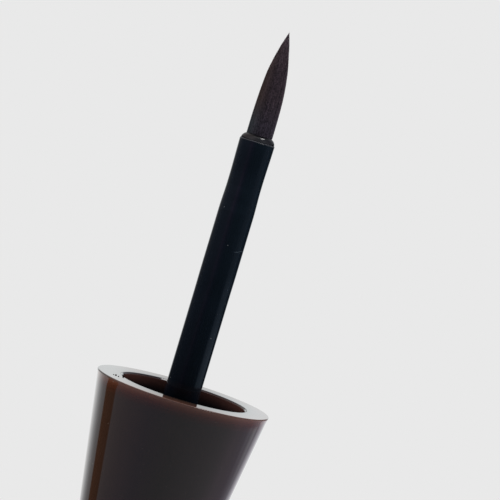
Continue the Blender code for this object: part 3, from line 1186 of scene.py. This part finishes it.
def hair_drift(tree, way, along):
    """Hairs drift a little in clumps, more towards their tips."""
    clumps = add(tree, "ShaderNodeTexNoise", {"Vector": way, "Scale": 9.0, "Detail": 2.0})
    centred = add(
        tree,
        "ShaderNodeVectorMath",
        {0: clumps.outputs["Color"], 1: (0.5, 0.5, 0.5)},
        operation="SUBTRACT",
    )
    loose = add(tree, "ShaderNodeMapRange", {"Value": along, "To Min": 0.0, "To Max": 0.05 * MM})
    drift = add(tree, "ShaderNodeVectorMath", {0: centred, "Scale": loose}, operation="SCALE")
    return add(tree, "ShaderNodeVectorMath", {0: drift, 1: (1.0, 1.0, 0.0)}, operation="MULTIPLY")


def hair_section(tree, given, axes):
    """The cone's own section at a hair's thickness, kept nearly full until the last third."""
    fullness = add(
        tree,
        "ShaderNodeMapRange",
        {"Value": axes["Z"], "From Min": 0.0, "From Max": 0.98, "To Min": 1.0, "To Max": 0.0},
    )
    guard = add(tree, "ShaderNodeMath", {0: fullness, 1: 0.02}, operation="MAXIMUM")
    keep = add(tree, "ShaderNodeMath", {0: guard, 1: 0.25}, operation="POWER")
    inverse = add(tree, "ShaderNodeMath", {0: keep, 1: guard}, operation="DIVIDE")
    across = add(tree, "ShaderNodeCombineXYZ", {"X": axes["X"], "Y": axes["Y"]})
    thick = add(
        tree, "ShaderNodeMath", {0: inverse, 1: given["Hair Radius"]}, operation="MULTIPLY"
    )
    return add(tree, "ShaderNodeVectorMath", {0: across, "Scale": thick}, operation="SCALE")


def tuft_tree():
    """Hairs bent together into the ogive that the tuft shows.

    Each hair's share, 0 at the axis and 1 at the edge, scales the outline, so hairs keep
    their order, do not cross, and end at the outline.
    """
    tree, start = new_tree(
        "hair_tuft",
        [
            ("Count", "NodeSocketInt", HAIR_COUNT),
            ("Length", "NodeSocketFloat", TUFT_LENGTH * MM),
            ("Root Depth", "NodeSocketFloat", HAIR_ROOT_DEPTH * MM),
            ("Root Radius", "NodeSocketFloat", ROOT_TUFT_RADIUS * MM),
            ("Belly Radius", "NodeSocketFloat", TUFT_RADIUS * MM),
            ("Power", "NodeSocketFloat", TUFT_POWER),
            ("Hair Radius", "NodeSocketFloat", HAIR_RADIUS * MM),
            ("Lip Height", "NodeSocketFloat", NOSE_TOP * MM),
            ("Root Sway", "NodeSocketFloat", (wand_sway(NOSE_TOP) + 0.02) * MM),
            ("Tip Sway", "NodeSocketFloat", (wand_sway(NOSE_TOP) - 0.07) * MM),
            ("Seed", "NodeSocketInt", 7),
            ("Finish", "NodeSocketMaterial", None),
        ],
    )
    given = start.outputs
    hairs = sow_hairs(tree, given)
    way = add(tree, "GeometryNodeInputNamedAttribute", {"Name": "way"}, data_type="FLOAT_VECTOR")
    own_tone = add(
        tree, "GeometryNodeInputNamedAttribute", {"Name": "hair_tone"}, data_type="FLOAT"
    )
    place = add(tree, "GeometryNodeInputPosition")
    axes = add(tree, "ShaderNodeSeparateXYZ", {0: place}).outputs
    share = add(tree, "ShaderNodeVectorMath", {0: way}, operation="LENGTH").outputs["Value"]
    height = hair_height(tree, given, share, own_tone, axes["Z"])
    inset = add(
        tree,
        "ShaderNodeMath",
        {0: hair_spread(tree, given, height), 1: given["Hair Radius"]},
        operation="SUBTRACT",
    )
    tall = add(tree, "ShaderNodeMath", {0: height, 1: given["Lip Height"]}, operation="ADD")
    sway = add(
        tree,
        "ShaderNodeMapRange",
        {
            "Value": height,
            "From Min": 0.3 * TUFT_LENGTH * MM,
            "From Max": 0.8 * TUFT_LENGTH * MM,
            "To Min": given["Root Sway"],
            "To Max": given["Tip Sway"],
        },
        interpolation_type="SMOOTHSTEP",
    )
    up = add(tree, "ShaderNodeCombineXYZ", {"X": sway, "Z": tall})
    spot = add(tree, "ShaderNodeVectorMath", {0: way, "Scale": inset}, operation="SCALE")
    for move in (hair_section(tree, given, axes), hair_drift(tree, way, axes["Z"]), up):
        spot = add(tree, "ShaderNodeVectorMath", {0: spot, 1: move}, operation="ADD")
    bent = add(tree, "GeometryNodeSetPosition", {"Geometry": hairs, "Position": spot})
    smooth = add(tree, "GeometryNodeSetShadeSmooth", {"Geometry": bent})
    solid = add(tree, "GeometryNodeRealizeInstances", {"Geometry": smooth})
    painted = add(
        tree, "GeometryNodeSetMaterial", {"Geometry": solid, "Material": given["Finish"]}
    )
    add(tree, "NodeGroupOutput", {"Geometry": painted})
    return tree


# Studio


# Light at each angle round the cap, in degrees: 0 is the camera's side, 90 its right.
ROOM_LIGHT = {
    "table": [
        (-151, (1.0, 1.0, 1.0)),
        (-142, (0.80, 0.81, 0.82)),
        (-130, (0.51, 0.50, 0.50)),
        (-98, (0.32, 0.29, 0.30)),
        (-60, (0.28, 0.27, 0.32)),
        (-36, (0.23, 0.245, 0.305)),
        (5, (0.245, 0.275, 0.30)),
        (75, (0.35, 0.38, 0.42)),
        (96, (0.415, 0.40, 0.47)),
        (118, (0.31, 0.29, 0.36)),
        (141, (0.41, 0.39, 0.46)),
        (143.5, (0.66, 0.63, 0.71)),
        (158, (0.85, 0.83, 0.89)),
        (176, (1.0, 1.0, 1.0)),
    ],
    "room": [
        (-162, (0.905, 0.935, 0.94)),
        (-150, (0.22, 0.22, 0.23)),
        (-136, (0.09, 0.09, 0.09)),
        (-90, (0.06, 0.07, 0.09)),
        (-42, (0.08, 0.09, 0.13)),
        (-30, (0.12, 0.10, 0.17)),
        (-16, (0.06, 0.07, 0.12)),
        (5, (0.04, 0.07, 0.10)),
        (108, (0.05, 0.08, 0.11)),
        (122, (0.01, 0.015, 0.02)),
        (152, (0.01, 0.015, 0.02)),
        (160, (0.30, 0.32, 0.36)),
        (167, (0.915, 0.96, 0.975)),
    ],
    "ceiling": [
        (-150, (0.42, 0.40, 0.40)),
        (-105, (0.40, 0.34, 0.35)),
        (-62, (0.66, 0.60, 0.65)),
        (-42, (0.68, 0.63, 0.70)),
        (-22, (0.42, 0.41, 0.46)),
        (5, (0.34, 0.35, 0.41)),
        (50, (0.48, 0.49, 0.56)),
        (75, (0.34, 0.34, 0.41)),
        (105, (0.18, 0.18, 0.23)),
        (150, (0.27, 0.27, 0.30)),
    ],
}

# What stands in the room: its left, right, bottom and top in degrees, then its light.
ROOM_THINGS = [
    (-121, -98.5, -89, -9.2, (0.22, 0.10, 0.05)),
    (66, 108, -9.0, 3.0, (0.085, 0.125, 0.17)),
    (73, 124, -6.9, -5.7, (0.26, 0.33, 0.42)),
    (99, 113, -17.5, -12.0, (0.38, 0.37, 0.46)),
    (113, 124, -16.2, -12.0, (0.48, 0.47, 0.56)),
    (124, 137, -14.8, -12.0, (0.58, 0.57, 0.63)),
    (40, 120, 66, 78, (7.0, 7.0, 7.0)),
]

# Light of the ceiling straight overhead.
ZENITH_LIGHT = (0.64, 0.64, 0.67, 1.0)

# Light that the room throws on matt surfaces.
ROOM_FILL = (0.16, 0.16, 0.165, 1.0)


def room_brightness(tree, rise, axes):
    """How the room's light changes with height.

    It is lit round the horizon and dark below and above, which is why the wand's foot is
    darker than its end, and darker again between the cap's walls. The backdrop behind the
    cap darkens above the horizon, most of all straight behind it.
    """
    dim = add(
        tree,
        "ShaderNodeMapRange",
        {"Value": rise, "From Min": -7.0, "From Max": -1.3, "To Min": 0.25, "To Max": 1.65},
    )
    above = add(
        tree,
        "ShaderNodeMapRange",
        {"Value": rise, "From Min": 1.0, "From Max": 4.0, "To Min": 1.0, "To Max": 0.15},
    )
    around = add(tree, "ShaderNodeMath", {0: dim, 1: above}, operation="MULTIPLY")
    behind = add(
        tree, "ShaderNodeMapRange", {"Value": axes["Y"], "From Min": 0.75, "From Max": 0.85}
    )
    keep = add(tree, "ShaderNodeMix", {0: behind, 2: around, 3: 1.0})
    aside = add(tree, "ShaderNodeMath", {0: axes["X"]}, operation="ABSOLUTE")
    darkest = add(
        tree,
        "ShaderNodeMapRange",
        {"Value": rise, "From Min": 6.95, "From Max": 7.25, "To Min": 0.85, "To Max": 0.65},
    )
    centre = add(
        tree,
        "ShaderNodeMapRange",
        {"Value": aside, "From Min": 0.009, "From Max": 0.028, "To Min": darkest, "To Max": 1.04},
    )
    higher = add(
        tree,
        "ShaderNodeMapRange",
        {"Value": rise, "From Min": 0.0, "From Max": 4.0, "To Min": 1.0, "To Max": centre},
    )
    return add(tree, "ShaderNodeMath", {0: keep, 1: higher}, operation="MULTIPLY")


def mirrored_room(tree):
    """What the gloss mirrors: the table's light, the room, the ceiling, and its things."""
    toward = add(tree, "ShaderNodeTexCoord").outputs["Generated"]
    axes = add(tree, "ShaderNodeSeparateXYZ", {0: toward}).outputs
    ahead = add(tree, "ShaderNodeMath", {0: axes["Y"], 1: -1.0}, operation="MULTIPLY")
    turned = add(tree, "ShaderNodeMath", {0: axes["X"], 1: ahead}, operation="ARCTAN2")
    turned = add(tree, "ShaderNodeMath", {0: turned}, operation="DEGREES")
    rise = add(tree, "ShaderNodeMath", {0: axes["Z"]}, operation="ARCSINE")
    rise = add(tree, "ShaderNodeMath", {0: rise}, operation="DEGREES")
    share = add(
        tree, "ShaderNodeMapRange", {"Value": turned, "From Min": -180.0, "From Max": 180.0}
    )
    light = {}
    for name, stops in ROOM_LIGHT.items():
        ramp = add(tree, "ShaderNodeValToRGB", {0: share}, label=name)
        elements = ramp.color_ramp.elements
        while len(elements) < len(stops):
            elements.new(0.5)
        for element, (angle, colour) in zip(elements, stops):
            element.position = (angle + 180) / 360
            element.color = (*colour, 1.0)
        light[name] = ramp
    shaded = add(
        tree,
        "ShaderNodeVectorMath",
        {0: light["room"], "Scale": room_brightness(tree, rise, axes)},
        operation="SCALE",
    )
    # From the table upwards, each band takes over from the one below between two heights.
    seen = light["table"]
    for low, high, colour in (
        (-9.6, -8.6, shaded),
        (9.0, 16.0, light["ceiling"]),
        (68.0, 78.0, ZENITH_LIGHT),
    ):
        over = add(tree, "ShaderNodeMapRange", {"Value": rise, "From Min": low, "From Max": high})
        seen = add(tree, "ShaderNodeMix", {0: over, 6: seen, 7: colour}, data_type="RGBA")
    for left, right, bottom, top, colour in ROOM_THINGS:
        inside = 1.0
        for value, first, last in ((turned, left, right), (rise, bottom, top)):
            for edge, soft in ((first, 0.7), (last, -0.7)):
                side = add(
                    tree,
                    "ShaderNodeMapRange",
                    {"Value": value, "From Min": edge - soft, "From Max": edge + soft},
                )
                inside = add(tree, "ShaderNodeMath", {0: inside, 1: side}, operation="MULTIPLY")
        seen = add(
            tree, "ShaderNodeMix", {0: inside, 6: seen, 7: (*colour, 1.0)}, data_type="RGBA"
        )
    return seen


def studio_world():
    """A pale room. Its mirror image in the gloss is grey in front and white behind.

    The gloss shows three bands of it: the table's light below, the darker room at the
    level of the wand, and a soft ceiling. A brown post stands on the left.
    """
    world = bpy.data.worlds.new("pale_studio")
    world.use_nodes = True
    tree = world.node_tree
    tree.nodes.clear()
    ray = add(tree, "ShaderNodeLightPath").outputs
    clear = add(
        tree,
        "ShaderNodeMath",
        {0: ray["Is Camera Ray"], 1: ray["Is Transmission Ray"]},
        operation="MAXIMUM",
    )
    plain = add(
        tree, "ShaderNodeMix", {0: clear, 6: ROOM_FILL, 7: srgb(BACKDROP)}, data_type="RGBA"
    )
    whole = add(
        tree,
        "ShaderNodeMix",
        {0: ray["Is Glossy Ray"], 6: plain, 7: mirrored_room(tree)},
        data_type="RGBA",
    )
    shine = add(tree, "ShaderNodeBackground", {"Color": whole, "Strength": 1.0})
    add(tree, "ShaderNodeOutputWorld", {"Surface": shine})
    world.cycles.sampling_method = "NONE"
    bpy.context.scene.world = world


def make_floor():
    """Pale floor. It keeps the shadow near the cap and fades into the backdrop."""
    made = bpy.data.materials.new("studio_floor")
    made.use_nodes = True
    tree = made.node_tree
    tree.nodes.clear()
    ray = add(tree, "ShaderNodeLightPath").outputs
    place = add(tree, "ShaderNodeTexCoord").outputs["Object"]
    reach = add(tree, "ShaderNodeVectorMath", {0: place}, operation="LENGTH")
    far = add(
        tree,
        "ShaderNodeMapRange",
        {"Value": reach.outputs["Value"], "From Min": 60 * MM, "From Max": 220 * MM},
        interpolation_type="SMOOTHSTEP",
    )
    flat = add(tree, "ShaderNodeMath", {0: far, 1: ray["Is Camera Ray"]}, operation="MULTIPLY")
    # The light that it throws up on the cap is softer than it looks to the camera.
    tint = add(
        tree,
        "ShaderNodeMix",
        {0: ray["Is Camera Ray"], 6: srgb("#C6C6C6"), 7: srgb("#E6E6E6")},
        data_type="RGBA",
    )
    paint = add(tree, "ShaderNodeBsdfDiffuse", {"Color": tint})
    backdrop = add(tree, "ShaderNodeEmission", {"Color": srgb(BACKDROP), "Strength": 1.0})
    mix = add(tree, "ShaderNodeMixShader", {0: flat, 1: paint, 2: backdrop})
    add(tree, "ShaderNodeOutputMaterial", {"Surface": mix})
    shape = bmesh.new()
    bmesh.ops.create_circle(shape, cap_ends=True, segments=96, radius=2.5)
    bmesh.ops.translate(shape, verts=shape.verts, vec=(0, 0, -0.02 * MM))
    floor = keep_mesh("studio_floor", shape, [made])
    floor.visible_glossy = False


def area_lamp(name, place, aim, size, power):
    """A soft rectangular lamp. The gloss shows the room's own light instead."""
    data = bpy.data.lights.new(name, "AREA")
    data.shape = "RECTANGLE"
    data.size = size[0]
    data.size_y = size[1]
    data.energy = power
    lamp = bpy.data.objects.new(name, data)
    lamp.location = place
    lamp.rotation_mode = "QUATERNION"
    lamp.rotation_quaternion = (Vector(aim) - Vector(place)).to_track_quat("-Z", "Y")
    bpy.context.scene.collection.objects.link(lamp)
    lamp.visible_glossy = False


def make_camera():
    """The photograph's camera: just above the rim, rolled so that the cap leans right."""
    back = Vector((0.0, -math.cos(CAMERA_ELEVATION), math.sin(CAMERA_ELEVATION)))
    place = Vector((0.0, 0.0, RIM_HEIGHT)) + back * CAMERA_DISTANCE
    ahead = -back
    right = Vector((1.0, 0.0, 0.0))
    up = right.cross(ahead)
    ahead, right = (
        ahead * math.cos(CAMERA_PAN) + right * math.sin(CAMERA_PAN),
        right * math.cos(CAMERA_PAN) - ahead * math.sin(CAMERA_PAN),
    )
    ahead, up = (
        ahead * math.cos(CAMERA_TILT) + up * math.sin(CAMERA_TILT),
        up * math.cos(CAMERA_TILT) - ahead * math.sin(CAMERA_TILT),
    )
    right, up = (
        right * math.cos(CAMERA_ROLL) + up * math.sin(CAMERA_ROLL),
        up * math.cos(CAMERA_ROLL) - right * math.sin(CAMERA_ROLL),
    )
    data = bpy.data.cameras.new("photo_camera")
    data.sensor_width = 36.0
    data.lens = CAMERA_LENS
    data.clip_start = 0.01
    data.clip_end = 20.0
    camera = bpy.data.objects.new("photo_camera", data)
    bpy.context.scene.collection.objects.link(camera)
    matrix = Matrix((right, up, -ahead)).transposed().to_4x4()
    matrix.translation = place * MM
    camera.matrix_world = matrix
    bpy.context.scene.camera = camera


def main():
    make_camera()
    acrylic = tinted_acrylic()
    liner = liner_plastic()

    shell = make_shell(acrylic, mouth_acrylic())
    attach(shell, "root")
    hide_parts("outer_shell")

    flecks = make_flecks(dried_crust())
    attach(flecks, "root")

    bush = make_liner(liner)
    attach(bush, "root")
    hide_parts("inner_cap")

    thread = grow("liner_thread", thread_tree(), liner)
    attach(thread, "root")

    washer = make_washer(washer_foam())
    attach(washer, "root")
    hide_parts("seal_washer")

    wand = make_wand(wand_plastic())
    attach(wand, "root")
    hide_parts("wand")

    nose = make_nose(holder_plastic())
    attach(nose, "root")
    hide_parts("brush_holder")

    tuft = grow("hair_tuft", tuft_tree(), brush_hair())
    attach(tuft, "root")
    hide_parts("bristle_tuft")

    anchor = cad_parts["tuft_anchor"]
    resin = anchor_resin()
    for slot in anchor.material_slots:
        slot.material = resin

    make_floor()
    studio_world()
    area_lamp("overhead_softbox", (0.0, 0.12, 0.75), (0, 0, 0.04), (0.6, 0.6), 4.6)
    area_lamp("left_softbox", (-0.44, 0.1, 0.07), (0, 0, 0.05), (0.3, 0.4), 1.4)
    area_lamp("right_softbox", (0.44, 0.1, 0.07), (0, 0, 0.05), (0.3, 0.4), 1.4)
    bpy.context.scene.view_settings.view_transform = "Standard"


main()
